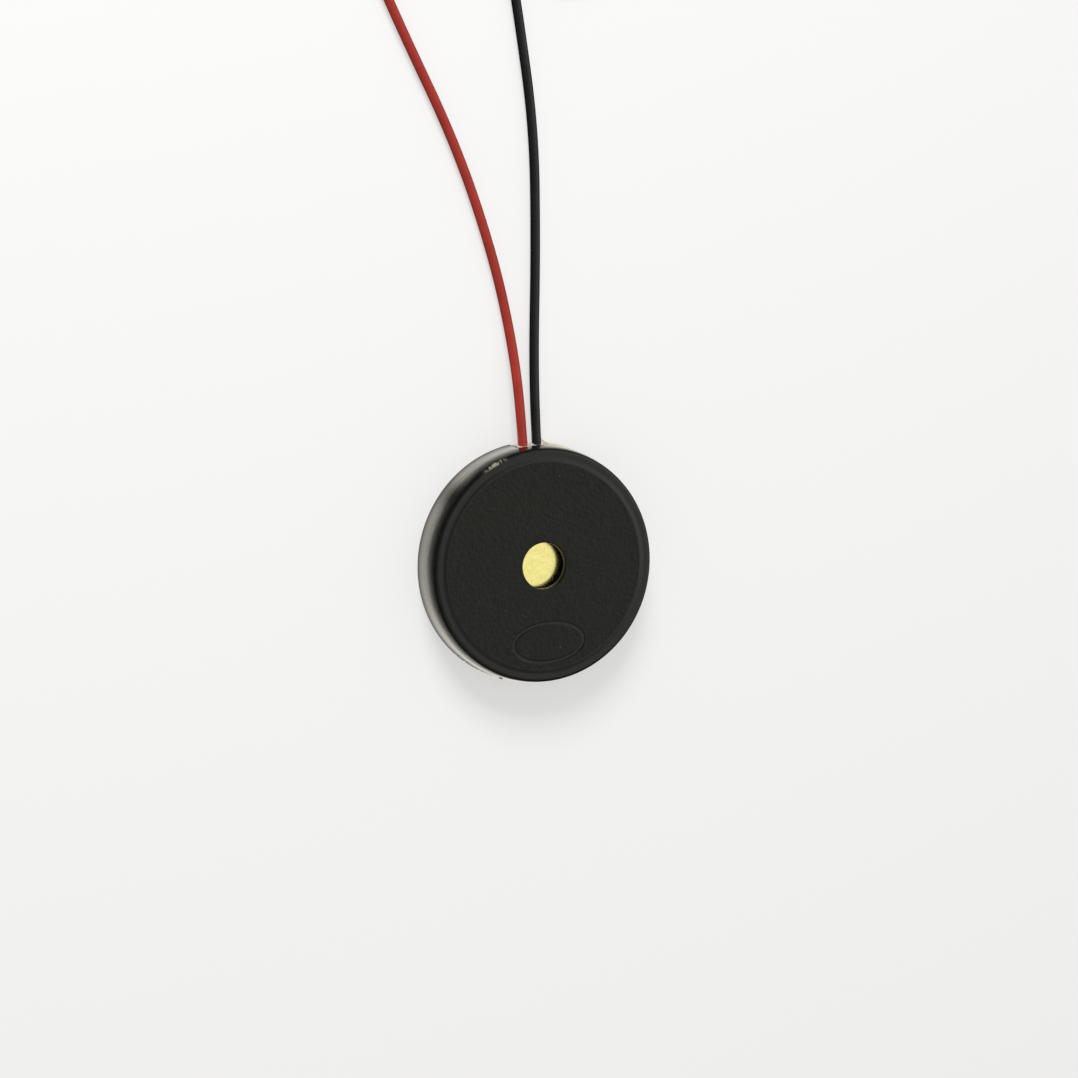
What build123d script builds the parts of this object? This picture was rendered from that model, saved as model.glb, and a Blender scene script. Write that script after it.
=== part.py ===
from build123d import *
import math
import os

# Enclosed ceramic sounder: a round moulded case with one sound hole, a brass disc that
# carries the ceramic inside it, a pressed-in back cover and two flying leads.
# It lies on its back. The origin is the middle of the back, +Z is the way the sound
# hole faces and +Y points to the middle of the two leads. All sizes are millimetres.

# Case, outside
case_diameter = 30.0         # at the back edge
case_height = 5.0
wall_draft = 2.0             # degrees, the straight part of the side wall
crown_start = 2.5            # height at which the side wall starts to curve inwards
front_edge_inset = 0.5       # how far the front edge stands inside the back edge
front_edge_break = 0.25
back_edge_break = 0.1
land_width = 1.0             # smooth ring between the front edge and the raised face
face_step = 0.15             # height of the raised face above that ring
step_width = 0.4             # width of the slope up to it
sound_hole_diameter = 5.8
hole_edge_break = 0.12
oval_length = 10.0           # bare oval groove on the face, opposite the leads
oval_width = 5.44
oval_groove = 0.55
oval_depth = 0.09
oval_edge_gap = 0.72         # from the groove to the top of the step
gate_diameter = 0.6          # what is left of the moulding gate on the side wall
gate_stand_out = 0.1
gate_height = 2.3
gate_turn = 158.0            # degrees from +Y, against the clock seen from the front

# Case, inside
side_wall = 1.4
front_wall = 0.9
front_chamber = 0.65         # air between the front wall and the disc's glue ring
ledge_width = 1.0            # shelf that the disc is glued to
cover_shoulder = 0.5         # step that the back cover stops against
cover_thickness = 0.8
cover_recess = 0.2
cover_edge_break = 0.15
cover_clearance = 0.05

# Sounding element
disc_thickness = 0.25
disc_clearance = 0.1
disc_glue = 0.1
ceramic_diameter = 20.0
ceramic_thickness = 0.2
silver_margin = 0.5          # bare rim of ceramic round the silvering
silver_thickness = 0.04

# Leads and outlet
lead_diameter = 1.2
lead_spacing = 1.83
lead_clearance = 0.05        # under the disc and under the notch's ceiling
notch_left = 1.75            # from the middle of the leads to each flank of the notch
notch_right = 5.1
notch_round = 0.3
past_wall = 1.0              # how far the notch's cutter starts outside the wall
outlet_glue_depth = 1.5
outlet_glue_setback = 0.1
strand_diameter = 0.4
red_joint_inset = 1.9        # from the silver's edge to the middle of its joint
red_end_gap = 0.8            # from the ceramic's edge to the end of the red insulation
joint_radius = 0.9
joint_height = 0.75
joint_tip_radius = 0.45
joint_gap = 0.4              # bare strand between an insulation's end and its joint
floor_clearance = 0.02       # keeps a lying lead just clear of the surface

# Put-away coils at the far ends
lead_length = 150.0          # each lead outside the case, with its tinned tip
tip_length = 5.0
coil_turn_radius = 8.0       # outermost turn, to the middle of the lead
turn_pitch = 1.25            # from one turn to the next
coil_width = 3.4             # across the ring of turns
hook_radius = 3.6            # inward bend that ends the innermost turn
hook_turn = 85.0             # degrees

# Sizes that follow from the ones above
case_radius = case_diameter / 2
pocket_radius = case_radius - side_wall
chamber_radius = pocket_radius - ledge_width
disc_radius = pocket_radius - disc_clearance
opening_radius = pocket_radius + cover_shoulder
ceramic_radius = ceramic_diameter / 2
silver_radius = ceramic_radius - silver_margin
lead_radius = lead_diameter / 2
edge_radius = case_radius - front_edge_inset
step_foot = edge_radius - land_width
face_radius = step_foot - step_width
oval_from_middle = face_radius - oval_edge_gap - oval_width / 2

land_height = case_height - face_step
chamber_top = case_height - front_wall
ledge_height = chamber_top - front_chamber
disc_top = ledge_height - disc_glue
disc_back = disc_top - disc_thickness
ceramic_back = disc_back - ceramic_thickness
silver_back = ceramic_back - silver_thickness
cover_top = cover_recess + cover_thickness

lead_height = disc_back - lead_clearance - lead_radius
floor_height = lead_radius + floor_clearance
red_x = -lead_spacing / 2
black_x = lead_spacing / 2
red_joint_from_middle = silver_radius - red_joint_inset
black_joint_from_middle = (ceramic_radius + pocket_radius) / 2
red_start = ceramic_radius + red_end_gap
black_start = black_joint_from_middle + joint_radius + joint_gap

# Route of each lead from its inner end: straight out of the notch, down to the
# surface, then along it in loose bends to its coil.
red_route = [
    (red_x, red_start, lead_height),
    (red_x, 18.5, lead_height),
    (-0.76, 27.2, floor_height),
    (-2.69, 38.5, floor_height),
    (-6.78, 52.5, floor_height),
    (-13.28, 67.5, floor_height),
    (-17.05, 77.2, floor_height),
]
black_route = [
    (black_x, black_start, lead_height),
    (black_x, 18.5, lead_height),
    (2.03, 26.5, floor_height),
    (3.03, 39.0, floor_height),
    (3.7, 53.5, floor_height),
    (2.48, 67.5, floor_height),
    (1.35, 77.2, floor_height),
]


def case_profile():
    """Half section of the case, radius across and height up."""
    draft = math.radians(wall_draft)
    crown_radius = case_radius - crown_start * math.tan(draft)
    hole_radius = sound_hole_diameter / 2
    with BuildSketch() as section:
        with BuildLine():
            Polyline((opening_radius, 0), (case_radius, 0), (crown_radius, crown_start))
            TangentArc((crown_radius, crown_start), (edge_radius, land_height),
                       tangent=(-math.sin(draft), math.cos(draft)))
            Polyline(
                (edge_radius, land_height),
                (step_foot, land_height),
                (face_radius, case_height),
                (hole_radius, case_height),
                (hole_radius, chamber_top),
                (chamber_radius, chamber_top),
                (chamber_radius, ledge_height),
                (pocket_radius, ledge_height),
                (pocket_radius, cover_top),
                (opening_radius, cover_top),
                (opening_radius, 0),
            )
        make_face()
        chamfer(section.vertices().sort_by_distance((edge_radius, land_height))[0], front_edge_break)
        chamfer(section.vertices().sort_by_distance((case_radius, 0))[0], back_edge_break)
        chamfer(section.vertices().sort_by_distance((hole_radius, case_height))[0], hole_edge_break)
    return section.sketch


def outlet_notch():
    """Slot for the leads: through the side wall, open to the back, round ceiling corners."""
    with BuildSketch(Plane.XZ.offset(-case_radius - past_wall)) as opening:
        with Locations(((notch_right - notch_left) / 2, disc_back)):
            Rectangle(notch_left + notch_right, 2 * disc_back, align=(Align.CENTER, Align.MAX))
        fillet(opening.vertices().group_by(Axis.Z)[-1], notch_round)
    return extrude(opening.sketch, amount=case_radius + past_wall)


def oval_border():
    """Shallow oval groove, bare inside."""
    with BuildSketch(Plane.XY.offset(case_height)) as border:
        with Locations((0, -oval_from_middle)):
            Ellipse(oval_length / 2, oval_width / 2)
            Ellipse(oval_length / 2 - oval_groove, oval_width / 2 - oval_groove,
                    mode=Mode.SUBTRACT)
    return extrude(border.sketch, amount=-oval_depth)


def gate_mark():
    """Round stub left on the side wall where the moulding gate was cut off."""
    reach = case_radius - gate_height * math.tan(math.radians(wall_draft)) + gate_stand_out
    stub = Cylinder(gate_diameter / 2, side_wall / 2, align=(Align.CENTER, Align.CENTER, Align.MAX))
    return Rot(0, 0, gate_turn) * Pos(0, reach, gate_height) * Rot(-90, 0, 0) * stub


def front_case():
    body = revolve(Plane.XZ * case_profile(), Axis.Z)
    return body - outlet_notch() - oval_border() + gate_mark()


def disc_between(radius, low, high):
    """Round plate from one height to another."""
    return Pos(0, 0, low) * Cylinder(radius, high - low, align=(Align.CENTER, Align.CENTER, Align.MIN))


def back_cover():
    plate = disc_between(opening_radius - cover_clearance, cover_recess, cover_top)
    return chamfer(plate.edges().group_by(Axis.Z)[0], cover_edge_break)


def diaphragm_adhesive():
    """Ring of glue between the case's ledge and the front of the disc's rim."""
    return disc_between(disc_radius, disc_top, ledge_height) - disc_between(
        chamber_radius, disc_top, ledge_height)


def lead_path(route):
    """Straight runs joined by arcs as large as the runs allow."""
    points = [Vector(*p) for p in route]
    radii = []
    for before, here, after in zip(points, points[1:], points[2:]):
        turn = math.radians((here - before).get_angle(after - here))
        shorter = min((here - before).length, (after - here).length)
        radii.append(0.45 * shorter / math.tan(turn / 2))
    return FilletPolyline(*points, radius=radii), radii


def lead_tube(route, diameter):
    path, radii = lead_path(route)
    start = Plane(path @ 0, z_dir=path % 0)
    tube = sweep(start * Circle(diameter / 2), path=path)
    return tube, path, radii


def coil_middle(route):
    """The turns run clockwise, so their middle lies to the right of the arriving lead."""
    along = (Vector(*route[-1]) - Vector(*route[-2])).normalized()
    return Vector(*route[-1]) + Vector(along.Y, -along.X, 0) * coil_turn_radius


def coil(route):
    """Outer shape of the put-away turns: a flat ring on the surface."""
    outer = coil_turn_radius + lead_radius + floor_clearance
    height = lead_diameter + 2 * floor_clearance
    ring = disc_between(outer, 0, height) - disc_between(outer - coil_width, 0, height)
    middle = coil_middle(route)
    return Pos(middle.X, middle.Y, 0) * ring


def rod(start, end, diameter):
    """Straight round rod between two points."""
    along = Vector(end) - Vector(start)
    return extrude(Plane(start, z_dir=along) * Circle(diameter / 2), amount=along.length)


def turned_in_coil(route, path):
    """Angle through which the lead winds before its hook, from the length left over."""
    outside = path.length - (case_radius - route[0][1])
    wound = lead_length - tip_length - outside - hook_radius * math.radians(hook_turn)
    shrink = turn_pitch / (4 * math.pi)
    return (coil_turn_radius - math.sqrt(coil_turn_radius**2 - 4 * shrink * wound)) / (2 * shrink)


def tinned_tip(route, path, ring):
    """Stripped, tinned end of a lead, pointing across the open middle of its coil."""
    middle = coil_middle(route)
    entry = Vector(*route[-1]) - middle
    turned = turned_in_coil(route, path)
    outward = entry.normalized().rotate(Axis.Z, -math.degrees(turned))
    onward = Vector(outward.Y, -outward.X, 0)
    hook = math.radians(hook_turn)
    from_middle = coil_turn_radius - turn_pitch * turned / (2 * math.pi) - hook_radius * (1 - math.cos(hook))
    insulation_end = middle + outward * from_middle + onward * hook_radius * math.sin(hook)
    direction = onward * math.cos(hook) - outward * math.sin(hook)
    inside_ring = insulation_end - direction * 2 * lead_diameter
    return rod(inside_ring, insulation_end + direction * tip_length, strand_diameter) - ring


def inner_strands(x, insulation_end, joint_y, joint_z, lead):
    """Bare strands from the end of the insulation into the solder."""
    wire = rod((x, insulation_end + strand_diameter, lead_height),
               (x, joint_y, joint_z - joint_height / 2), strand_diameter)
    return wire - lead


def solder_joint(x, y, surface, strands):
    """Blunt cone of solder hanging under the disc or the silvering, closed round the strands."""
    cone = Cone(joint_tip_radius, joint_radius, joint_height,
                align=(Align.CENTER, Align.CENTER, Align.MAX))
    return Pos(x, y, surface) * cone - strands


def outlet_glue(wires):
    """Glue that fills the notch round the leads, within the thickness of the wall."""
    outside = case_radius - outlet_glue_setback
    low = disc_back - outlet_glue_depth
    ring = disc_between(outside, low, disc_back) - disc_between(pocket_radius, low, disc_back)
    fill = ring & outlet_notch()
    for wire in wires:
        fill -= wire
    return fill


def write(name, solid):
    solid.label = name
    export_step(solid, f"parts/{name}.step")


os.makedirs("parts", exist_ok=True)

red_tube, red_path, red_radii = lead_tube(red_route, lead_diameter)
black_tube, black_path, black_radii = lead_tube(black_route, lead_diameter)
red_coil = coil(red_route)
black_coil = coil(black_route)
red_strands = inner_strands(red_x, red_start, red_joint_from_middle, silver_back, red_tube)
black_strands = inner_strands(black_x, black_start, black_joint_from_middle, disc_back, black_tube)

write("front_case", front_case())
write("back_cover", back_cover())
write("diaphragm_adhesive", diaphragm_adhesive())
write("brass_diaphragm", disc_between(disc_radius, disc_back, disc_top))
write("piezo_ceramic", disc_between(ceramic_radius, ceramic_back, disc_back))
write("silver_electrode", disc_between(silver_radius, silver_back, ceramic_back))
write("red_inner_strands", red_strands)
write("black_inner_strands", black_strands)
write("red_solder_joint", solder_joint(red_x, red_joint_from_middle, silver_back, red_strands))
write("black_solder_joint", solder_joint(black_x, black_joint_from_middle, disc_back, black_strands))
write("outlet_glue", outlet_glue([red_tube, black_tube, red_strands, black_strands]))
write("red_lead", red_tube - red_coil)
write("black_lead", black_tube - black_coil)
write("red_lead_coil", red_coil)
write("black_lead_coil", black_coil)
write("red_tinned_tip", tinned_tip(red_route, red_path, red_coil))
write("black_tinned_tip", tinned_tip(black_route, black_path, black_coil))

for name, route, tube, path, radii in (
    ("red lead", red_route, red_tube, red_path, red_radii),
    ("black lead", black_route, black_tube, black_path, black_radii),
):
    section = math.pi * lead_radius**2
    print(name, "turns in coil", round(turned_in_coil(route, path) / (2 * math.pi), 3),
          "about", coil_middle(route))
    print(name, "bend radii", [round(r, 1) for r in radii])
    print(name, "length", round(path.length, 2), "volume over section and length",
          round(tube.volume / (section * path.length), 5))
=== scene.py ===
import math

import bmesh
import bpy
from mathutils import Matrix, Vector, noise


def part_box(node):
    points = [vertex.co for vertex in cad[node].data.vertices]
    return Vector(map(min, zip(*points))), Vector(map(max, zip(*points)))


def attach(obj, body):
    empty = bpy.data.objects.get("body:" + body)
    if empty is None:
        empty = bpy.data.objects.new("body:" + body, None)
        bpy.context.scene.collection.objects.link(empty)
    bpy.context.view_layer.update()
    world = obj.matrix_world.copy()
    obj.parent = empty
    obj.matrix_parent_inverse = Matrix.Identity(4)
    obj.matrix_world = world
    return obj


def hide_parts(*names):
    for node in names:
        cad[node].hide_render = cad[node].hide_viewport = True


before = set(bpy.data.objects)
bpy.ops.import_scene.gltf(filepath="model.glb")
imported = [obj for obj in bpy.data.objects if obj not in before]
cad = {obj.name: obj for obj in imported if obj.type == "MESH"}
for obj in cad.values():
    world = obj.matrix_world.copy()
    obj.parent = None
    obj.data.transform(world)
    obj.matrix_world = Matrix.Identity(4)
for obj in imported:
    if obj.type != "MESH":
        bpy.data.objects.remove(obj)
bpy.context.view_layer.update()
scene = bpy.context.scene
mm = 0.001

# Camera
# It looks down on the face from 557 mm away, on a long lens. The line of sight leans away from
# the sound hole's axis towards the side of the case, and the camera is rolled a little.
sight_distance = 556.97 * mm
sight_lean = math.radians(24.74)
lean_side = math.radians(21.9)
camera_roll = math.radians(16.89)
aim_right = 0.6386 * mm
aim_down = 3.3267 * mm
face_edge_height = 4.87 * mm

camera_turn = (
    Matrix.Rotation(-lean_side, 4, "Z")
    @ Matrix.Rotation(-sight_lean, 4, "Y")
    @ Matrix.Rotation(camera_roll, 4, "Z")
)
camera_place = camera_turn @ Vector((-aim_right, aim_down, sight_distance))
camera_place.z += face_edge_height

camera_data = bpy.data.cameras.new("camera")
camera_data.lens = 100.0
camera_data.sensor_width = 24.0
camera_data.clip_start = 0.01
camera_data.clip_end = 10.0
camera = bpy.data.objects.new("camera", camera_data)
camera.matrix_world = Matrix.Translation(camera_place) @ camera_turn
scene.collection.objects.link(camera)
scene.camera = camera
scene.view_settings.view_transform = "Standard"

# Moulded case
# One injection-moulded shell of black plastic. The side wall is polished and curves in towards
# the front, the ring on the front edge is smooth, and the raised face has the fine grain of a
# spark-eroded mould. The sound hole is in its middle, and the outlet slot is open to the back.
case_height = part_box("front_case")[1].z
case_radius = 15.0 * mm
crown_radius = 14.871 * mm
crown_height = 3.704 * mm
ring_height = case_height - 0.15 * mm
ring_radius = 14.5 * mm
step_radius = 13.5 * mm
face_radius = 13.1 * mm
sound_hole_radius = 2.9 * mm
shelf_radius = 12.6 * mm
pocket_radius = 13.6 * mm
cover_radius = 14.1 * mm
face_underside = 4.1 * mm
shelf_height = 3.45 * mm
cover_height = 1.0 * mm
turned_steps = 576
case_outline = (
    # radius, height, how far the corner's round reaches, steps in the round
    (cover_radius, 0, 0, 0),
    (case_radius, 0, 0.1 * mm, 3),
    (crown_radius, crown_height, 0.84 * mm, 12),
    (ring_radius, ring_height, 0.36 * mm, 8),
    (step_radius, ring_height, 0.14 * mm, 3),
    (face_radius, case_height, 0.14 * mm, 3),
    (sound_hole_radius, case_height, 0.14 * mm, 4),
    (sound_hole_radius, face_underside, 0.04 * mm, 2),
    (shelf_radius, face_underside, 0, 0),
    (shelf_radius, shelf_height, 0, 0),
    (pocket_radius, shelf_height, 0, 0),
    (pocket_radius, cover_height, 0, 0),
    (cover_radius, cover_height, 0, 0),
)


def from_axis(place):
    """Distance from the sound hole's axis."""
    return math.hypot(place.x, place.y)


def clockwise(place):
    """Degrees from +Y, clockwise seen from the front."""
    return math.degrees(math.atan2(place.x, place.y))


def turned_shell(outline, steps):
    """Closed shell turned about the axis from a section whose corners are rounded first."""
    bm = bmesh.new()
    corners = [bm.verts.new((radius, 0, height)) for radius, height, _, _ in outline]
    bm.faces.new(corners)
    for corner, (_, _, reach, rounds) in zip(corners, outline):
        if rounds:
            bmesh.ops.bevel(bm, geom=[corner], offset=reach, affect="VERTICES", segments=rounds,
                            profile=0.5, material=-1)
    bmesh.ops.delete(bm, geom=bm.faces[:], context="FACES_ONLY")
    bmesh.ops.spin(bm, geom=bm.verts[:] + bm.edges[:], cent=(0, 0, 0), axis=(0, 0, 1),
                   angle=math.tau, steps=steps, use_merge=True)
    bmesh.ops.remove_doubles(bm, verts=bm.verts, dist=0.001 * mm)
    bmesh.ops.recalc_face_normals(bm, faces=bm.faces)
    return bm


case_form = turned_shell(case_outline, turned_steps)

# The face opposite the leads has a shallow oval groove, bare inside
oval_half = Vector((5.0 * mm, 2.72 * mm))
oval_edge_gap = 0.72 * mm
oval_centre = Vector((0, oval_half.y + oval_edge_gap - face_radius, case_height))
groove_width = 0.55 * mm
groove_slope = 0.13 * mm
groove_depth = 0.09 * mm
groove_steps = 16
oval_points = 160

flat_face = [f for f in case_form.faces
             if f.normal.z > 0.999 and from_axis(f.calc_center_median()) < face_radius]
bmesh.ops.delete(case_form, geom=flat_face, context="FACES")
oval = bmesh.ops.create_circle(
    case_form, segments=oval_points, radius=1.0,
    matrix=Matrix.Translation(oval_centre) @ Matrix.Diagonal((*oval_half, 1, 1)))["verts"]
rim = list({e for v in oval for e in v.link_edges})
bmesh.ops.triangle_fill(case_form, use_beauty=True, use_dissolve=False, normal=(0, 0, 1),
                        edges=[e for e in case_form.edges if e.is_boundary or e in rim])
half, sunk = oval_half, 0.0
for step in range(1, groove_steps + 1):
    inset = groove_width * step / groove_steps
    share = min(1.0, min(inset, groove_width - inset) / groove_slope)
    depth = groove_depth * share * share * (3 - 2 * share)
    smaller = oval_half - Vector((inset, inset))
    extruded = bmesh.ops.extrude_edge_only(case_form, edges=rim)["geom"]
    ring = [g for g in extruded if isinstance(g, bmesh.types.BMVert)]
    rim = [g for g in extruded if isinstance(g, bmesh.types.BMEdge) and all(v in ring for v in g.verts)]
    bmesh.ops.scale(case_form, vec=(smaller.x / half.x, smaller.y / half.y, 1),
                    space=Matrix.Translation(-oval_centre), verts=ring)
    bmesh.ops.translate(case_form, vec=(0, 0, sunk - depth), verts=ring)
    half, sunk = smaller, depth
bmesh.ops.contextual_create(case_form, geom=rim)

# The outlet is a slot through the wall, from its back up to the height of the brass disc
slot_left = -1.75 * mm
slot_right = 5.1 * mm
slot_top = 3.1 * mm
slot_round = 0.3 * mm
cut_from_y = 11 * mm
cut_half_width = 8 * mm
cut_below = 3.8 * mm
on_plane = 0.002 * mm

wall = [f for f in case_form.faces
        if f.calc_center_median().y > cut_from_y and abs(f.calc_center_median().x) < cut_half_width
        and all(v.co.z < cut_below and from_axis(v.co) > pocket_radius - 0.01 * mm for v in f.verts)]
for place, facing in (((slot_left, 0, 0), (1, 0, 0)), ((slot_right, 0, 0), (1, 0, 0)),
                      ((0, 0, slot_top), (0, 0, 1))):
    edges = {e for f in wall for e in f.edges}
    corners = {v for f in wall for v in f.verts}
    cut = bmesh.ops.bisect_plane(case_form, geom=wall + list(edges) + list(corners),
                                 dist=0.0005 * mm, plane_co=place, plane_no=facing)
    wall = [g for g in cut["geom"] if isinstance(g, bmesh.types.BMFace)]
opened = [f for f in wall if slot_left < f.calc_center_median().x < slot_right
          and f.calc_center_median().z < slot_top]
bmesh.ops.delete(case_form, geom=opened, context="FACES")
border = [e for e in case_form.edges if e.is_boundary]
top_edges = []
for side in (slot_left, slot_right):
    flank = [e for e in border if all(abs(v.co.x - side) < on_plane for v in e.verts)]
    top = {v for e in flank for v in e.verts if abs(v.co.z - slot_top) < on_plane}
    top_edges.append(case_form.edges.new(top))
    bmesh.ops.contextual_create(case_form, geom=flank + [top_edges[-1]])
ceiling = [e for e in border if all(abs(v.co.z - slot_top) < on_plane for v in e.verts)]
bmesh.ops.contextual_create(case_form, geom=ceiling + top_edges)
bmesh.ops.bevel(case_form, geom=top_edges, offset=slot_round, affect="EDGES", segments=4,
                profile=0.5, material=-1)

# Handling has nicked the back edge low on the left and scraped the front edge high on the left.
# The scraped edge is also painted pale, a painted highlight that stands in for glints along it.
nick_from, nick_to = -164.0, -128.0
nick_below = 0.12 * mm
nick_outside = 14.8 * mm
nick_depth = 0.35 * mm
nicks_per_degree = 0.55
scrape_from, scrape_to = -31.0, -16.0
scrape_low, scrape_high = 4.5 * mm, 4.84 * mm
scrape_outside = 14.15 * mm
scrape_depth = 0.07 * mm
scrapes_per_degree = 4.2
scrapes_per_mm_up = 2.5
scrape_glint_strength = 0.6

scrape_glint = case_form.verts.layers.float.new("scrape_glint")
for vert in case_form.verts:
    around, radius = clockwise(vert.co), from_axis(vert.co)
    if nick_from < around < nick_to and vert.co.z < nick_below and radius > nick_outside:
        fade = math.sin(math.pi * (around - nick_from) / (nick_to - nick_from))
        bite = max(0.0, noise.noise(Vector((around * nicks_per_degree, 0, 3.0))) - 0.08)
        vert.co -= Vector((vert.co.x, vert.co.y, 0)).normalized() * nick_depth * bite * fade
    if (scrape_from < around < scrape_to and scrape_low < vert.co.z < scrape_high
            and radius > scrape_outside):
        fade = math.sin(math.pi * (around - scrape_from) / (scrape_to - scrape_from))
        torn = noise.noise(Vector((around * scrapes_per_degree, vert.co.z / mm * scrapes_per_mm_up, 7.0)))
        vert[scrape_glint] = scrape_glint_strength * fade * min(1.0, max(0.0, torn * 3 + 0.6))
        vert.co += vert.co.normalized() * scrape_depth * torn * fade

case_finishes = ("grained", "smooth", "polished")
wall_finish_inside = 14.0 * mm
wall_finish_below = ring_height - 0.25 * mm


def which_finish(face):
    """The raised face is grained, its groove and the ring round it are smooth, the wall is polished."""
    middle = face.calc_center_median()
    if middle.z > case_height - 0.002 * mm:
        return case_finishes.index("grained")
    if from_axis(middle) > wall_finish_inside and middle.z < wall_finish_below:
        return case_finishes.index("polished")
    return case_finishes.index("smooth")


def new_piece(name, bm, sharp_from=35.0):
    """A shaded piece from a finished form. Edges that turn by more than sharp_from degrees, and the
    borders of level faces, stay sharp."""
    for face in bm.faces:
        face.smooth = True
    for edge in bm.edges:
        level = [face.normal.z > 0.99999 for face in edge.link_faces]
        turns = edge.calc_face_angle() if edge.is_manifold else 0
        edge.smooth = turns < math.radians(sharp_from) and all(level) == any(level)
    mesh = bpy.data.meshes.new(name)
    bm.to_mesh(mesh)
    bm.free()
    piece = bpy.data.objects.new(name, mesh)
    scene.collection.objects.link(piece)
    weighted = piece.modifiers.new("flat faces stay flat", "WEIGHTED_NORMAL")
    weighted.keep_sharp = True
    return piece


for face in case_form.faces:
    face.material_index = which_finish(face)

# The stub of the moulding gate stands a little proud of the wall
gate_around = math.radians(-158.0)
gate_radius = 0.3 * mm
gate_end_radius = 0.255 * mm
gate_reach = case_radius + 0.04 * mm
gate_height = 2.3 * mm
gate_length = 0.8 * mm
gate_axis = Vector((math.sin(gate_around), math.cos(gate_around), 0))
gate_middle = gate_axis * (gate_reach - gate_length / 2) + Vector((0, 0, gate_height))
gate = bmesh.ops.create_cone(
    case_form, cap_ends=True, segments=20, radius1=gate_radius, radius2=gate_end_radius,
    depth=gate_length,
    matrix=Matrix.Translation(gate_middle) @ gate_axis.to_track_quat("Z", "Y").to_matrix().to_4x4())
for face in {f for v in gate["verts"] for f in v.link_faces}:
    face.material_index = case_finishes.index("polished")
case = new_piece("moulded_case", case_form)


def principled(name, roughness):
    """A new material with its main shader and the place on the piece."""
    material = bpy.data.materials.new(name)
    material.use_nodes = True
    tree = material.node_tree
    shader = tree.nodes["Principled BSDF"]
    shader.inputs["Roughness"].default_value = roughness
    return material, tree, shader, tree.nodes.new("ShaderNodeTexCoord").outputs["Object"]


def grain_of(tree, place, scale, detail=2.0):
    """Fine uneven pattern through the piece; scale is in patterns for each metre."""
    pattern = tree.nodes.new("ShaderNodeTexNoise")
    pattern.inputs["Scale"].default_value = scale
    pattern.inputs["Detail"].default_value = detail
    tree.links.new(place, pattern.inputs["Vector"])
    return pattern.outputs["Fac"]


def between(tree, amount, low, high, from_share=0.3, to_share=0.7):
    """Colour that follows a pattern from one tone to another."""
    ramp = tree.nodes.new("ShaderNodeValToRGB")
    for stop, share, tone in zip(ramp.color_ramp.elements, (from_share, to_share), (low, high)):
        stop.position = share
        stop.color = (*tone, 1)
    tree.links.new(amount, ramp.inputs["Fac"])
    return ramp.outputs["Color"]


def rough_skin(tree, shader, height, depth, under=None):
    """Small relief of the surface, optionally on top of a coarser one."""
    bump = tree.nodes.new("ShaderNodeBump")
    bump.inputs["Distance"].default_value = depth
    tree.links.new(height, bump.inputs["Height"])
    if under:
        tree.links.new(under, bump.inputs["Normal"])
    tree.links.new(bump.outputs["Normal"], shader.inputs["Normal"])
    return bump.outputs["Normal"]


def specks_over(tree, place, colour, tone, scale, size):
    """Sparse tiny specks of dust or filler over a colour; size is a share of their spacing."""
    cells = tree.nodes.new("ShaderNodeTexVoronoi")
    cells.inputs["Scale"].default_value = scale
    tree.links.new(place, cells.inputs["Vector"])
    inside = tree.nodes.new("ShaderNodeMath")
    inside.operation = "LESS_THAN"
    inside.inputs[1].default_value = size
    tree.links.new(cells.outputs["Distance"], inside.inputs[0])
    mix = tree.nodes.new("ShaderNodeMix")
    mix.data_type = "RGBA"
    mix.inputs["B"].default_value = (*tone, 1)
    tree.links.new(inside.outputs["Value"], mix.inputs["Factor"])
    tree.links.new(colour, mix.inputs["A"])
    return mix.outputs["Result"]


face_dark = (0.0042, 0.0047, 0.0022)
face_light = (0.0074, 0.0080, 0.0048)
dust = (0.06, 0.055, 0.045)
grained, tree, shader, place = principled("grained_black_plastic", 0.46)
shader.inputs["Specular IOR Level"].default_value = 0.24
face_tone = between(tree, grain_of(tree, place, 900.0, 4.0), face_dark, face_light)
tree.links.new(specks_over(tree, place, face_tone, dust, 330.0, 0.035), shader.inputs["Base Color"])
rough_skin(tree, shader, grain_of(tree, place, 2000.0, 4.0), 0.12 * mm)
case.data.materials.append(grained)

ring_dark = (0.0026, 0.0027, 0.0018)
ring_light = (0.0050, 0.0050, 0.0038)
bared_plastic_glint = (0.42, 0.39, 0.30)
smooth, tree, shader, place = principled("smooth_black_plastic", 0.34)
shader.inputs["Specular IOR Level"].default_value = 0.35
ring_tone = between(tree, grain_of(tree, place, 1400.0, 3.0), ring_dark, ring_light)
# The scraped edge's pale tone is partly bared plastic and partly a painted highlight for glints along the
# edge
scrape_glint_mask = tree.nodes.new("ShaderNodeAttribute")
scrape_glint_mask.attribute_name = "scrape_glint"
scrape_glint_tone = tree.nodes.new("ShaderNodeMix")
scrape_glint_tone.data_type = "RGBA"
scrape_glint_tone.inputs["B"].default_value = (*bared_plastic_glint, 1)
tree.links.new(scrape_glint_mask.outputs["Fac"], scrape_glint_tone.inputs["Factor"])
tree.links.new(ring_tone, scrape_glint_tone.inputs["A"])
tree.links.new(scrape_glint_tone.outputs["Result"], shader.inputs["Base Color"])
rough_skin(tree, shader, grain_of(tree, place, 3600.0, 2.0), 0.006 * mm)
case.data.materials.append(smooth)

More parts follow.
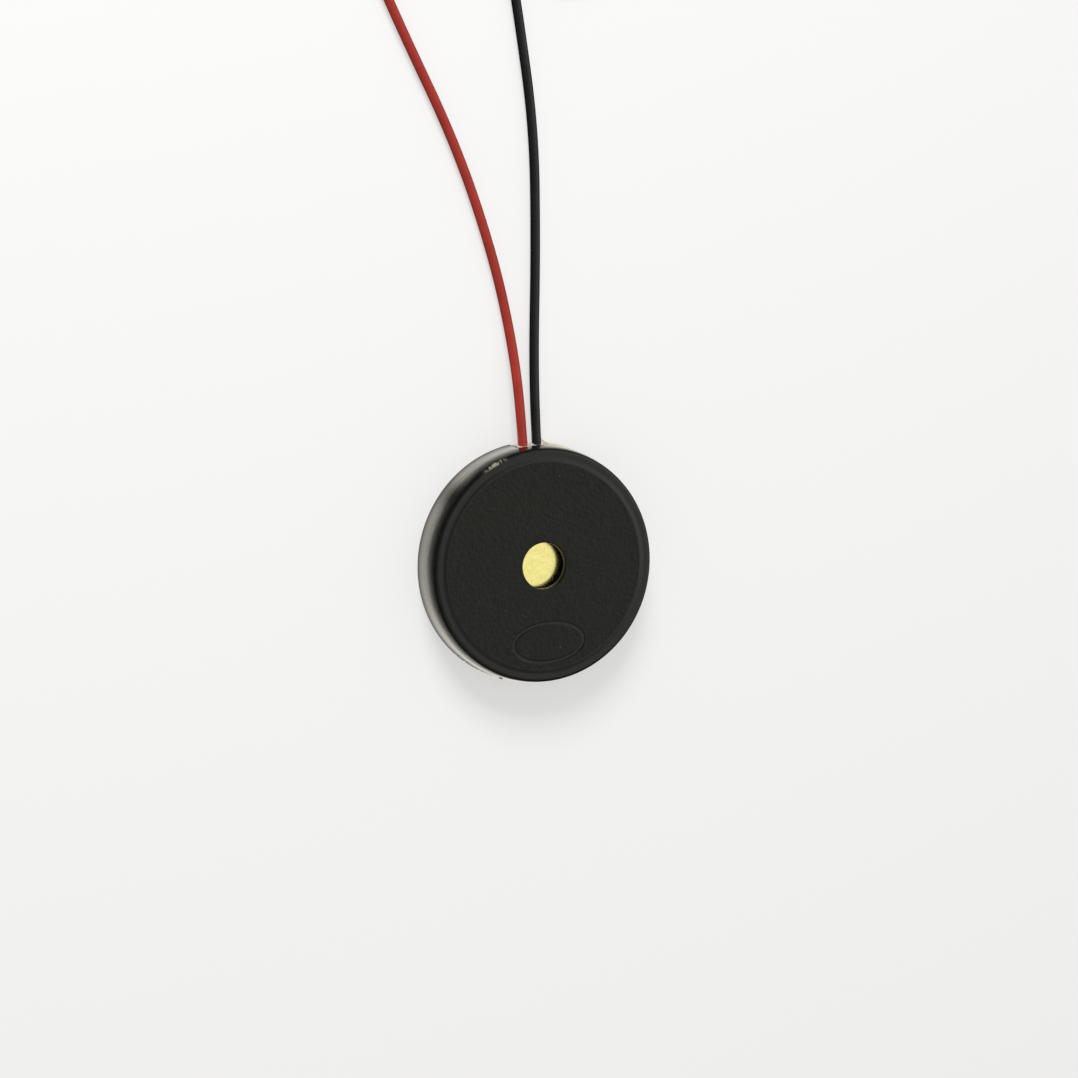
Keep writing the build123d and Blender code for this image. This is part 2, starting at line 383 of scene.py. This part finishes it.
wall_dark = (0.0045, 0.0045, 0.0045)
wall_light = (0.0080, 0.0078, 0.0072)
clean_gloss = (0.04, 0.04, 0.04)
smeared_gloss = (0.15, 0.15, 0.15)
polished, tree, shader, place = principled("polished_black_plastic", 0.16)
shader.inputs["Coat Weight"].default_value = 1.0
smears = between(tree, grain_of(tree, place, 420.0, 5.0), clean_gloss, smeared_gloss, 0.4, 0.65)
tree.links.new(smears, shader.inputs["Coat Roughness"])
tree.links.new(between(tree, grain_of(tree, place, 500.0, 3.0), wall_dark, wall_light),
               shader.inputs["Base Color"])
waves = rough_skin(tree, shader, grain_of(tree, place, 300.0, 3.0), 0.08 * mm)
skin = rough_skin(tree, shader, grain_of(tree, place, 2400.0, 2.0), 0.004 * mm, waves)
tree.links.new(skin, shader.inputs["Coat Normal"])
case.data.materials.append(polished)

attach(case, "root")
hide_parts("front_case")

# Brass disc
# The disc that vibrates is punched from thin rolled brass and glued by its rim to the shelf in
# the case. It is bare metal, and the sound hole shows its middle.
brass_dark = (0.80, 0.70, 0.24)
brass_light = (0.90, 0.82, 0.33)
tarnish = (0.74, 0.60, 0.20)
brass, tree, shader, place = principled("rolled_brass", 0.2)
shader.inputs["Metallic"].default_value = 1.0
brass_tone = between(tree, grain_of(tree, place, 1500.0, 4.0), brass_dark, brass_light)
tree.links.new(specks_over(tree, place, brass_tone, tarnish, 3200.0, 0.22), shader.inputs["Base Color"])
rough_skin(tree, shader, grain_of(tree, place, 7000.0, 2.0), 0.002 * mm)


def finish_node(name, material):
    """Gives a solid of the frame its material."""
    mesh = cad[name].data
    mesh.materials.clear()
    mesh.materials.append(material)


finish_node("brass_diaphragm", brass)

# Ceramic disc and its silvering
# A thin fired disc of piezo ceramic is bonded to the back of the brass. Silver paste, screened
# and fired on its back, is its second electrode.
ceramic_dark = (0.52, 0.47, 0.36)
ceramic_light = (0.62, 0.57, 0.46)
ceramic, tree, shader, place = principled("fired_ceramic", 0.7)
tree.links.new(between(tree, grain_of(tree, place, 1800.0, 4.0), ceramic_dark, ceramic_light),
               shader.inputs["Base Color"])
rough_skin(tree, shader, grain_of(tree, place, 9000.0, 2.0), 0.004 * mm)
finish_node("piezo_ceramic", ceramic)

silver_dark = (0.68, 0.67, 0.64)
silver_light = (0.80, 0.79, 0.76)
silvering, tree, shader, place = principled("fired_silver", 0.48)
shader.inputs["Metallic"].default_value = 1.0
tree.links.new(between(tree, grain_of(tree, place, 1200.0, 5.0), silver_dark, silver_light),
               shader.inputs["Base Color"])
rough_skin(tree, shader, grain_of(tree, place, 6000.0, 3.0), 0.006 * mm)
finish_node("silver_electrode", silvering)

# Glue ring
# Soft pale rubber glue holds the rim of the brass disc to the shelf and seals it all round. It
# is laid as one bead before the disc is pressed in.
rubber_dark = (0.62, 0.58, 0.46)
rubber_light = (0.74, 0.70, 0.60)
rubber_glue, tree, shader, place = principled("rubber_glue", 0.42)
tree.links.new(between(tree, grain_of(tree, place, 700.0, 3.0), rubber_dark, rubber_light),
               shader.inputs["Base Color"])
rough_skin(tree, shader, grain_of(tree, place, 1500.0, 2.0), 0.02 * mm)
finish_node("diaphragm_adhesive", rubber_glue)

# Solder joints and bare strands
# Each lead's stripped strands run into a mound of solder: the red one's on the silvering, the
# black one's on the rim of the brass.
solder_dark = (0.54, 0.54, 0.53)
solder_light = (0.72, 0.72, 0.70)
solder, tree, shader, place = principled("solder", 0.28)
shader.inputs["Metallic"].default_value = 1.0
tree.links.new(between(tree, grain_of(tree, place, 1600.0, 3.0), solder_dark, solder_light),
               shader.inputs["Base Color"])
rough_skin(tree, shader, grain_of(tree, place, 2200.0, 2.0), 0.02 * mm)
finish_node("red_solder_joint", solder)
finish_node("black_solder_joint", solder)

tin_dark = (0.60, 0.56, 0.50)
tin_light = (0.78, 0.76, 0.72)
strands, tree, shader, place = principled("tinned_strands", 0.3)
shader.inputs["Metallic"].default_value = 1.0
tree.links.new(between(tree, grain_of(tree, place, 3000.0, 3.0), tin_dark, tin_light),
               shader.inputs["Base Color"])
rough_skin(tree, shader, grain_of(tree, place, 4200.0, 2.0), 0.008 * mm)
finish_node("red_inner_strands", strands)
finish_node("black_inner_strands", strands)

# Back cover
# A plain disc of the same black plastic, pressed into the back of the case until it stops. It
# closes the case behind the ceramic.
cover_dark = (0.0070, 0.0070, 0.0066)
cover_light = (0.0125, 0.0125, 0.0115)
cover_plastic, tree, shader, place = principled("cover_black_plastic", 0.45)
tree.links.new(between(tree, grain_of(tree, place, 800.0, 4.0), cover_dark, cover_light),
               shader.inputs["Base Color"])
rough_skin(tree, shader, grain_of(tree, place, 4200.0, 3.0), 0.012 * mm)
finish_node("back_cover", cover_plastic)

# Leads
# Two lengths of stranded hook-up wire with soft insulation. Their inner ends are soldered inside
# the case; they come out of its slot side by side, sink to the surface and run apart, and the
# rest of each is wound into a neat coil. The tinned ends lie across the coils' open middles.
lead_diameter = 1.2 * mm
red_side = -0.915
black_side = 0.915
out_height = 2.45
lying_height = 0.62
# The routes and the coils are in millimetres
red_route = [
    (red_side, 10.8, out_height),
    (red_side, 18.5, out_height),
    (-0.76, 27.2, lying_height),
    (-2.69, 38.5, lying_height),
    (-6.78, 52.5, lying_height),
    (-13.28, 67.5, lying_height),
    (-17.05, 77.2, lying_height),
]
black_route = [
    (black_side, 13.1, out_height),
    (black_side, 18.5, out_height),
    (2.03, 26.5, lying_height),
    (3.03, 39.0, lying_height),
    (3.7, 53.5, lying_height),
    (2.48, 67.5, lying_height),
    (1.35, 77.2, lying_height),
]
coil_radius = 8.0
turn_pitch = 1.25
points_per_turn = 20
hook_radius = 3.6
hook_turn = math.radians(85)
hook_steps = 5
red_turns = 1.713
black_turns = 1.781


def wind_up(route, turns):
    """Adds the coil's clockwise turns and its inward hook; gives the tip's start and direction."""
    points = [Vector(p) for p in route]
    along = (points[-1] - points[-2]).normalized()
    to_middle = Vector((along.y, -along.x, 0))
    middle = points[-1] + to_middle * coil_radius
    steps = round(turns * points_per_turn)
    for step in range(1, steps + 1):
        turned = math.tau * turns * step / steps
        radius = coil_radius - turn_pitch * turned / math.tau
        points.append(middle + Matrix.Rotation(-turned, 3, "Z") @ -to_middle * radius)
    outward = (points[-1] - middle).normalized()
    onward = Vector((outward.y, -outward.x, 0))
    hook_middle = points[-1] - outward * hook_radius
    for step in range(1, hook_steps + 1):
        turned = hook_turn * step / hook_steps
        points.append(hook_middle + Matrix.Rotation(-turned, 3, "Z") @ outward * hook_radius)
    direction = onward * math.cos(hook_turn) - outward * math.sin(hook_turn)
    return points, points[-1] * mm, direction


def lead_curve(name, points):
    """One smooth round lead through the chosen points."""
    data = bpy.data.curves.new(name, "CURVE")
    data.dimensions = "3D"
    data.bevel_depth = lead_diameter / 2
    data.bevel_resolution = 6
    data.resolution_u = 8
    data.use_fill_caps = True
    spline = data.splines.new("NURBS")
    spline.points.add(len(points) - 1)
    for point, spot in zip(spline.points, points):
        point.co = (*(spot * mm), 1)
    spline.order_u = 3
    spline.use_endpoint_u = True
    lead = bpy.data.objects.new(name, data)
    scene.collection.objects.link(lead)
    return lead


def soft_insulation(name, colour, shade):
    """Extruded soft plastic: satin, very slightly uneven in tone and surface."""
    material, tree, shader, place = principled(name, 0.38)
    shader.inputs["Specular IOR Level"].default_value = 0.3
    tree.links.new(between(tree, grain_of(tree, place, 420.0, 3.0), shade, colour),
                   shader.inputs["Base Color"])
    rough_skin(tree, shader, grain_of(tree, place, 2600.0), 0.008 * mm)
    return material


lead_red = (0.35, 0.030, 0.019)
lead_dark_red = (0.30, 0.023, 0.014)
lead_black = (0.0095, 0.0095, 0.0105)
lead_dark_black = (0.0065, 0.0065, 0.0070)
red_points, red_tip_start, red_tip_direction = wind_up(red_route, red_turns)
black_points, black_tip_start, black_tip_direction = wind_up(black_route, black_turns)
red_lead = lead_curve("red_insulated_lead", red_points)
black_lead = lead_curve("black_insulated_lead", black_points)
red_lead.data.materials.append(soft_insulation("red_insulation", lead_red, lead_dark_red))
black_lead.data.materials.append(soft_insulation("black_insulation", lead_black, lead_dark_black))

# Tinned tips
# The last 5 mm of each lead is stripped. Its seven copper strands, one straight and six wound
# round it, are twisted tight and tinned.
tip_length = 5.0 * mm
tip_diameter = 0.4 * mm
strand_radius = tip_diameter / 6
strand_steps = 24
twist_length = 3.2 * mm


def twisted_tip(name, start, direction):
    """Seven strands that start a little inside the insulation and run on from its end."""
    data = bpy.data.curves.new(name, "CURVE")
    data.dimensions = "3D"
    data.bevel_depth = strand_radius
    data.bevel_resolution = 3
    data.resolution_u = 4
    data.use_fill_caps = True
    across = direction.cross(Vector((0, 0, 1))).normalized()
    begin = start - direction * tip_diameter
    for strand in range(7):
        spline = data.splines.new("NURBS")
        spline.points.add(strand_steps)
        for step, point in enumerate(spline.points):
            along = (tip_length + tip_diameter) * step / strand_steps
            turn = math.tau * (strand / 6 + along / twist_length)
            out = 0 if strand == 6 else 2 * strand_radius
            side = across * math.cos(turn) + Vector((0, 0, math.sin(turn)))
            point.co = (*(begin + direction * along + side * out), 1)
        spline.order_u = 3
        spline.use_endpoint_u = True
    tip = bpy.data.objects.new(name, data)
    scene.collection.objects.link(tip)
    data.materials.append(strands)
    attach(tip, "root")
    return tip


red_tip = twisted_tip("red_twisted_tip", red_tip_start, red_tip_direction)
black_tip = twisted_tip("black_twisted_tip", black_tip_start, black_tip_direction)
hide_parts("red_tinned_tip")
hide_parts("black_tinned_tip")

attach(red_lead, "root")
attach(black_lead, "root")
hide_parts("red_lead", "red_lead_coil")
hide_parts("black_lead", "black_lead_coil")

# Outlet glue
# Clear pale glue is run into the slot round the leads. It fills the slot out to the line of the
# wall and creeps a little way out along the black lead before it sets.
glue_low = 1.0 * mm
glue_columns = 90
glue_rows = 36
glue_bulge = 0.12 * mm
wall_leans_in = 0.16 * mm
lump_height = 0.05 * mm
lump_spacing = 1.1 * mm
creep_reach = 0.5 * mm
creep_top = 3.0 * mm
creep_fades = 0.8 * mm
glue_creep = (
    # place of the lead, how far the glue creeps out along its left and its right side
    (red_side * mm, 0.05 * mm, 0.1 * mm),
    (black_side * mm, 0.15 * mm, 0.9 * mm),
)

glue_form = bmesh.new()
bmesh.ops.create_grid(glue_form, x_segments=glue_columns, y_segments=glue_rows, size=0.5)
bmesh.ops.scale(glue_form, vec=(slot_right - slot_left, slot_top - glue_low, 1), verts=glue_form.verts)
bmesh.ops.rotate(glue_form, cent=(0, 0, 0), matrix=Matrix.Rotation(math.radians(90), 3, "X"),
                 verts=glue_form.verts)
bmesh.ops.translate(glue_form, vec=((slot_left + slot_right) / 2, 0, (glue_low + slot_top) / 2),
                    verts=glue_form.verts)
for vert in glue_form.verts:
    up = (vert.co.z - glue_low) / (slot_top - glue_low)
    bulge = glue_bulge * 4 * up * (1 - up) - wall_leans_in * up
    creep = 0.0
    for side, left_creep, right_creep in glue_creep:
        off = max(0.0, math.hypot(vert.co.x - side, vert.co.z - out_height * mm) - lead_diameter / 2)
        most = left_creep if vert.co.x < side else right_creep
        creep = max(creep, most * math.exp(-off / creep_reach))
    under = min(1.0, max(0.0, (creep_top - vert.co.z) / creep_fades))
    lumps = noise.noise(vert.co / lump_spacing) * lump_height
    reach = case_radius + bulge + creep * under * under * (3 - 2 * under) + lumps
    vert.co.y = math.sqrt(reach**2 - vert.co.x**2)
outer_rim = [e for e in glue_form.edges if e.is_boundary]
walls = bmesh.ops.extrude_edge_only(glue_form, edges=outer_rim)["geom"]
inner_rim = [g for g in walls if isinstance(g, bmesh.types.BMVert)]
for vert in inner_rim:
    vert.co.y = math.sqrt(pocket_radius**2 - vert.co.x**2)
bmesh.ops.contextual_create(glue_form, geom=[g for g in walls if isinstance(g, bmesh.types.BMEdge)
                                             and all(v in inner_rim for v in g.verts)])
bmesh.ops.recalc_face_normals(glue_form, faces=glue_form.faces)
glue = new_piece("outlet_glue_fill", glue_form, 60.0)

glue_dark = (0.66, 0.58, 0.42)
glue_light = (0.84, 0.80, 0.68)
clear_glue, tree, shader, place = principled("clear_pale_glue", 0.2)
shader.inputs["Subsurface Weight"].default_value = 0.6
shader.inputs["Subsurface Radius"].default_value = (1.0, 0.8, 0.55)
shader.inputs["Subsurface Scale"].default_value = 0.5 * mm
shader.inputs["Transmission Weight"].default_value = 0.35
tree.links.new(between(tree, grain_of(tree, place, 900.0, 3.0), glue_dark, glue_light),
               shader.inputs["Base Color"])
rough_skin(tree, shader, grain_of(tree, place, 1300.0, 2.0), 0.02 * mm)
glue.data.materials.append(clear_glue)
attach(glue, "root")
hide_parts("outlet_glue")

# Floor and light
# A seamless white surface in soft even light from all round, with one large soft lamp for the
# faint shadow. Gloss sees what stands round it in the studio: white on the far side, dark on the
# camera's side, and the surface itself, which glows for gloss alone as a painted reflection: white
# near the part, with painted shade at its foot and far off.
floor_size = 3.0
floor_white = (0.92, 0.92, 0.915)
shown_white = (0.915, 0.910, 0.895)
shade_kept = 0.44
mirrored_white = Vector((1.0, 0.965, 0.87))
mirrored_from = case_radius
mirrored_to = 25.0 * mm
mirrored_levels = (
    # share of the way outwards, brightness
    (0.0, 0.22), (0.02, 0.70), (0.05, 1.0), (0.13, 1.0),
    (0.20, 0.72), (0.32, 0.33), (0.50, 0.07), (1.0, 0.012),
)
# A painted shade patch on the surface, seen by gloss alone: the polished wall mirrors it off its side left
# of the outlet
shade_place = (-12.8 * mm, 12.0 * mm, 0)
shade_radius = 4.2 * mm
shade_level = 0.15

floor_mesh = bpy.data.meshes.new("floor")
floor_form = bmesh.new()
bmesh.ops.create_grid(floor_form, x_segments=1, y_segments=1, size=floor_size)
floor_form.to_mesh(floor_mesh)
floor_form.free()
floor = bpy.data.objects.new("floor", floor_mesh)
scene.collection.objects.link(floor)

white_surface, tree, shader, place = principled("white_surface", 1.0)
shader.inputs["Specular IOR Level"].default_value = 0.0
shader.inputs["Base Color"].default_value = (*floor_white, 1)
ray = tree.nodes.new("ShaderNodeLightPath")


def seen_as(tree, ray_kind, otherwise, seen, share=1.0):
    """Shows one shader to a kind of ray, by a share, and the other shader to the rest."""
    weight = tree.nodes.new("ShaderNodeMath")
    weight.operation = "MULTIPLY"
    weight.inputs[1].default_value = share
    tree.links.new(ray_kind, weight.inputs[0])
    choose = tree.nodes.new("ShaderNodeMixShader")
    tree.links.new(weight.outputs["Value"], choose.inputs["Fac"])
    tree.links.new(otherwise, choose.inputs[1])
    tree.links.new(seen, choose.inputs[2])
    return choose.outputs["Shader"]


def level_ramp(tree, amount, levels, white=Vector((1, 1, 1))):
    """Brightness of a white along an amount, through chosen stops."""
    ramp = tree.nodes.new("ShaderNodeValToRGB")
    stops = ramp.color_ramp.elements
    while len(stops) < len(levels):
        stops.new(1.0)
    for stop, (share, level) in zip(stops, levels):
        stop.position = share
        stop.color = (*(white * level), 1)
    tree.links.new(amount, ramp.inputs["Fac"])
    return ramp


even_white = tree.nodes.new("ShaderNodeEmission")
even_white.inputs["Color"].default_value = (*shown_white, 1)
away = tree.nodes.new("ShaderNodeVectorMath")
away.operation = "LENGTH"
tree.links.new(place, away.inputs[0])
outwards = tree.nodes.new("ShaderNodeMapRange")
outwards.inputs["From Min"].default_value = mirrored_from
outwards.inputs["From Max"].default_value = mirrored_to
tree.links.new(away.outputs["Value"], outwards.inputs["Value"])
mirrored_ramp = level_ramp(tree, outwards.outputs["Result"], mirrored_levels, mirrored_white)
off_shade = tree.nodes.new("ShaderNodeVectorMath")
off_shade.operation = "DISTANCE"
off_shade.inputs[1].default_value = shade_place
tree.links.new(place, off_shade.inputs[0])
shade = tree.nodes.new("ShaderNodeMapRange")
shade.interpolation_type = "SMOOTHSTEP"
shade.inputs["From Max"].default_value = shade_radius
shade.inputs["To Min"].default_value = shade_level
tree.links.new(off_shade.outputs["Value"], shade.inputs["Value"])
mirrored = tree.nodes.new("ShaderNodeEmission")
tree.links.new(mirrored_ramp.outputs["Color"], mirrored.inputs["Color"])
tree.links.new(shade.outputs["Result"], mirrored.inputs["Strength"])
surface = seen_as(tree, ray.outputs["Is Camera Ray"], shader.outputs["BSDF"],
                  even_white.outputs["Emission"], 1 - shade_kept)
surface = seen_as(tree, ray.outputs["Is Glossy Ray"], surface, mirrored.outputs["Emission"])
tree.links.new(surface, tree.nodes["Material Output"].inputs["Surface"])
floor_mesh.materials.append(white_surface)

even_level = 0.52
studio_lights = (
    # where the light stands, then (how near to it a direction points, how bright it looks there)
    ((0.791, 0.212, 0.574), ((0.0, 0.12), (0.42, 0.10), (0.62, 0.36), (0.80, 0.86), (0.97, 1.45))),
    ((-0.171, -0.470, 0.866), ((0.0, 0.0), (0.55, 0.0), (0.9, 0.30), (1.0, 0.40))),
)
world = bpy.data.worlds.new("light")
scene.world = world
world.use_nodes = True
tree = world.node_tree
even = tree.nodes["Background"]
even.inputs["Color"].default_value = (1, 1, 1, 1)
even.inputs["Strength"].default_value = even_level
direction = tree.nodes.new("ShaderNodeTexCoord").outputs["Generated"]
studio = tree.nodes.new("ShaderNodeVectorMath")
studio.operation = "ADD"
for glow, (bright_way, levels) in zip(studio.inputs, studio_lights):
    near_light = tree.nodes.new("ShaderNodeVectorMath")
    near_light.operation = "DOT_PRODUCT"
    near_light.inputs[1].default_value = bright_way
    tree.links.new(direction, near_light.inputs[0])
    ramp = level_ramp(tree, near_light.outputs["Value"], levels)
    ramp.color_ramp.interpolation = "EASE"
    tree.links.new(ramp.outputs["Color"], glow)
sky = tree.nodes.new("ShaderNodeBackground")
tree.links.new(studio.outputs["Vector"], sky.inputs["Color"])
ray = tree.nodes.new("ShaderNodeLightPath")
surround = seen_as(tree, ray.outputs["Is Glossy Ray"], even.outputs["Background"],
                   sky.outputs["Background"])
tree.links.new(surround, tree.nodes["World Output"].inputs["Surface"])

lamp_away = 0.6
lamp_lean = math.radians(56)
lamp_turn = math.radians(10)
lamp_data = bpy.data.lights.new("soft_lamp", "AREA")
lamp_data.shape = "DISK"
lamp_data.size = 0.26
lamp_data.energy = 3.0
lamp = bpy.data.objects.new("soft_lamp", lamp_data)
lamp_direction = Matrix.Rotation(lamp_turn, 3, "Z") @ Vector((0, math.sin(lamp_lean), math.cos(lamp_lean)))
lamp.location = lamp_direction * lamp_away
lamp.rotation_mode = "QUATERNION"
lamp.rotation_quaternion = (-lamp_direction).to_track_quat("-Z", "Y")
lamp.visible_glossy = False
scene.collection.objects.link(lamp)
